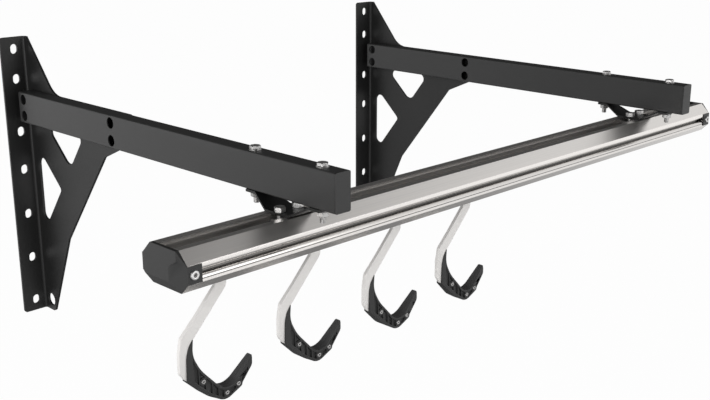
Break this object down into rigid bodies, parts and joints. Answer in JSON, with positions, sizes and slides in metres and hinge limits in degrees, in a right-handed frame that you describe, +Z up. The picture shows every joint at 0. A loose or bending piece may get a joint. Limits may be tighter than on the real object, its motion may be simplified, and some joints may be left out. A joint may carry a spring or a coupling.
{
  "type": "wall-mounted bike rack",
  "caption": "Wall rack for bicycles: steel wall brackets and long arms carry an aluminium rail in which trolleys roll, each with a swivelling, padded wheel hook.",
  "frame": {"origin": "centre of the left bracket's wall face", "axes": "+X along the wall towards the right bracket, -Y out of the wall, +Z up"},
  "size_m": [1.2054, 0.7606, 0.473],
  "materials": {
    "coat": "satin powder coat",
    "zinc": "bright zinc",
    "alloy": "satin anodised",
    "moulded": "fine grain",
    "plate_paint": "satin",
    "nylon": "smooth"
  },
  "bodies": {
    "rack": {"bracket_left": "coat", "bracket_right": "coat", "arm_left": "coat", "arm_right": "coat", "arm_plug_left": "moulded", "arm_plug_right": "moulded", "arm_bolts_left": "zinc", "arm_bolts_right": "zinc", "arm_nuts_left": "zinc", "arm_nuts_right": "zinc", "hanger_left": "coat", "hanger_right": "coat", "hanger_bolts": "zinc", "hanger_nuts": "zinc", "clamp_bolts": "zinc", "clamp_plates": "zinc", "rail": "alloy", "rail_cap_left": "moulded", "rail_cap_right": "moulded", "cap_screws": "zinc"},
    "carriage_1": {"trolley_1": "coat", "axles_1": "zinc"},
    "front_wheels_1": {"wheels_front_1": "nylon"},
    "rear_wheels_1": {"wheels_rear_1": "nylon"},
    "hook_1": {"swivel_pin_1": "zinc", "hook_plate_1": "plate_paint", "cradle_front_1": "moulded", "cradle_back_1": "moulded", "cradle_screws_1": "zinc"},
    "carriage_2": {"trolley_2": "coat", "axles_2": "zinc"},
    "front_wheels_2": {"wheels_front_2": "nylon"},
    "rear_wheels_2": {"wheels_rear_2": "nylon"},
    "hook_2": {"swivel_pin_2": "zinc", "hook_plate_2": "plate_paint", "cradle_front_2": "moulded", "cradle_back_2": "moulded", "cradle_screws_2": "zinc"},
    "carriage_3": {"trolley_3": "coat", "axles_3": "zinc"},
    "front_wheels_3": {"wheels_front_3": "nylon"},
    "rear_wheels_3": {"wheels_rear_3": "nylon"},
    "hook_3": {"swivel_pin_3": "zinc", "hook_plate_3": "plate_paint", "cradle_front_3": "moulded", "cradle_back_3": "moulded", "cradle_screws_3": "zinc"},
    "carriage_4": {"trolley_4": "coat", "axles_4": "zinc"},
    "front_wheels_4": {"wheels_front_4": "nylon"},
    "rear_wheels_4": {"wheels_rear_4": "nylon"},
    "hook_4": {"swivel_pin_4": "zinc", "hook_plate_4": "plate_paint", "cradle_front_4": "moulded", "cradle_back_4": "moulded", "cradle_screws_4": "zinc"}
  },
  "joints": [
    {"name": "trolley_slide_1", "type": "slide", "parent": "rack", "child": "carriage_1", "axis": [1, 0, 0], "range_m": [-0.04, 0.041]},
    {"name": "front_wheels_spin_1", "type": "hinge", "parent": "carriage_1", "child": "front_wheels_1", "pos_m": [-0.084, -0.6647, 0.04515], "axis": [0, 1, 0], "continuous": true},
    {"name": "rear_wheels_spin_1", "type": "hinge", "parent": "carriage_1", "child": "rear_wheels_1", "pos_m": [-0.124, -0.6647, 0.04515], "axis": [0, 1, 0], "continuous": true},
    {"name": "hook_swivel_1", "type": "hinge", "parent": "carriage_1", "child": "hook_1", "pos_m": [-0.104, -0.6647, 0.0313], "axis": [0, 0, 1], "continuous": true},
    {"name": "trolley_slide_2", "type": "slide", "parent": "rack", "child": "carriage_2", "axis": [1, 0, 0], "range_m": [-0.041, 0.041]},
    {"name": "front_wheels_spin_2", "type": "hinge", "parent": "carriage_2", "child": "front_wheels_2", "pos_m": [0.0684, -0.6647, 0.04515], "axis": [0, 1, 0], "continuous": true},
    {"name": "rear_wheels_spin_2", "type": "hinge", "parent": "carriage_2", "child": "rear_wheels_2", "pos_m": [0.0284, -0.6647, 0.04515], "axis": [0, 1, 0], "continuous": true},
    {"name": "hook_swivel_2", "type": "hinge", "parent": "carriage_2", "child": "hook_2", "pos_m": [0.0484, -0.6647, 0.0313], "axis": [0, 0, 1], "continuous": true},
    {"name": "trolley_slide_3", "type": "slide", "parent": "rack", "child": "carriage_3", "axis": [1, 0, 0], "range_m": [-0.041, 0.041]},
    {"name": "front_wheels_spin_3", "type": "hinge", "parent": "carriage_3", "child": "front_wheels_3", "pos_m": [0.2208, -0.6647, 0.04515], "axis": [0, 1, 0], "continuous": true},
    {"name": "rear_wheels_spin_3", "type": "hinge", "parent": "carriage_3", "child": "rear_wheels_3", "pos_m": [0.1808, -0.6647, 0.04515], "axis": [0, 1, 0], "continuous": true},
    {"name": "hook_swivel_3", "type": "hinge", "parent": "carriage_3", "child": "hook_3", "pos_m": [0.2008, -0.6647, 0.0313], "axis": [0, 0, 1], "continuous": true},
    {"name": "trolley_slide_4", "type": "slide", "parent": "rack", "child": "carriage_4", "axis": [1, 0, 0], "range_m": [-0.041, 0.632]},
    {"name": "front_wheels_spin_4", "type": "hinge", "parent": "carriage_4", "child": "front_wheels_4", "pos_m": [0.3732, -0.6647, 0.04515], "axis": [0, 1, 0], "continuous": true},
    {"name": "rear_wheels_spin_4", "type": "hinge", "parent": "carriage_4", "child": "rear_wheels_4", "pos_m": [0.3332, -0.6647, 0.04515], "axis": [0, 1, 0], "continuous": true},
    {"name": "hook_swivel_4", "type": "hinge", "parent": "carriage_4", "child": "hook_4", "pos_m": [0.3532, -0.6647, 0.0313], "axis": [0, 0, 1], "continuous": true}
  ],
  "couplings": [
    {"joint": "front_wheels_spin_1", "follows": "trolley_slide_1", "rad_per_m": 95.238},
    {"joint": "rear_wheels_spin_1", "follows": "trolley_slide_1", "rad_per_m": 95.238},
    {"joint": "front_wheels_spin_2", "follows": "trolley_slide_2", "rad_per_m": 95.238},
    {"joint": "rear_wheels_spin_2", "follows": "trolley_slide_2", "rad_per_m": 95.238},
    {"joint": "front_wheels_spin_3", "follows": "trolley_slide_3", "rad_per_m": 95.238},
    {"joint": "rear_wheels_spin_3", "follows": "trolley_slide_3", "rad_per_m": 95.238},
    {"joint": "front_wheels_spin_4", "follows": "trolley_slide_4", "rad_per_m": 95.238},
    {"joint": "rear_wheels_spin_4", "follows": "trolley_slide_4", "rad_per_m": 95.238}
  ]
}
